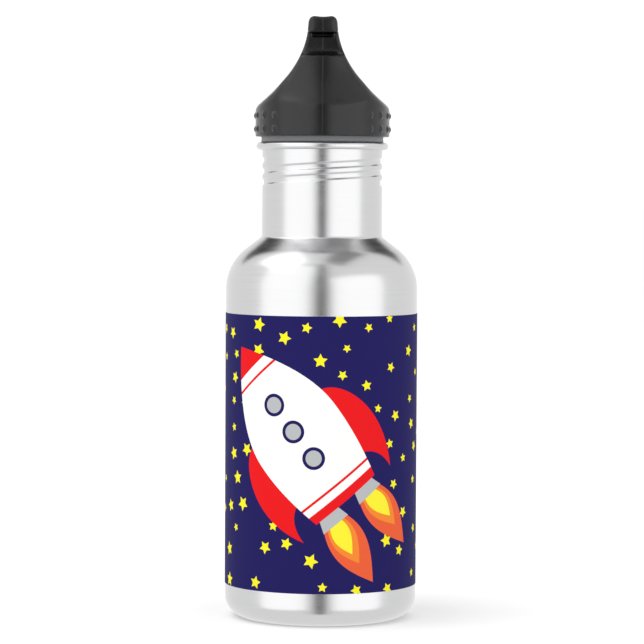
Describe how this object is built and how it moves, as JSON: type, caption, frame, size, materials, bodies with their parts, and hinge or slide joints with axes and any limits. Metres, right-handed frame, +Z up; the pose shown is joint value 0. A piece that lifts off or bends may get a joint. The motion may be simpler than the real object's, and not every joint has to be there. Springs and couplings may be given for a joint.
{
  "type": "water bottle",
  "caption": "Single-wall steel water bottle with a printed wrap, a rolled neck thread, a silicone seal and a screw cap with a carrying loop.",
  "frame": {"origin": "middle of the foot, on the surface that the bottle stands on", "axes": "+Z up along the bottle's axis; -Y is the front of the print; the hole of the cap's loop runs along X"},
  "size_m": [0.0702, 0.0702, 0.2194],
  "materials": {
    "brushed_stainless": "circumferentially brushed",
    "printed_film": "smooth printed film",
    "black_polypropylene": "fine satin moulding",
    "grey_silicone": "matt"
  },
  "bodies": {
    "bottle": {"bottle_shell": "brushed_stainless", "base_disc": "brushed_stainless", "printed_wrap": "printed_film"},
    "seal": {"seal_ring": "grey_silicone"},
    "cap": {"loop_cap_shell": "black_polypropylene", "threaded_plug": "black_polypropylene"}
  },
  "joints": [
    {"name": "cap_rise", "type": "slide", "parent": "bottle", "child": "seal", "axis": [0, 0, 1], "range_m": [0, 0.01801]},
    {"name": "cap_twist", "type": "hinge", "parent": "seal", "child": "cap", "pos_m": [0, 0, 0.1761], "axis": [0, 0, 1], "range_deg": [0, 810]}
  ],
  "couplings": [
    {"joint": "cap_rise", "follows": "cap_twist", "m_per_rad": 0.0012732}
  ]
}
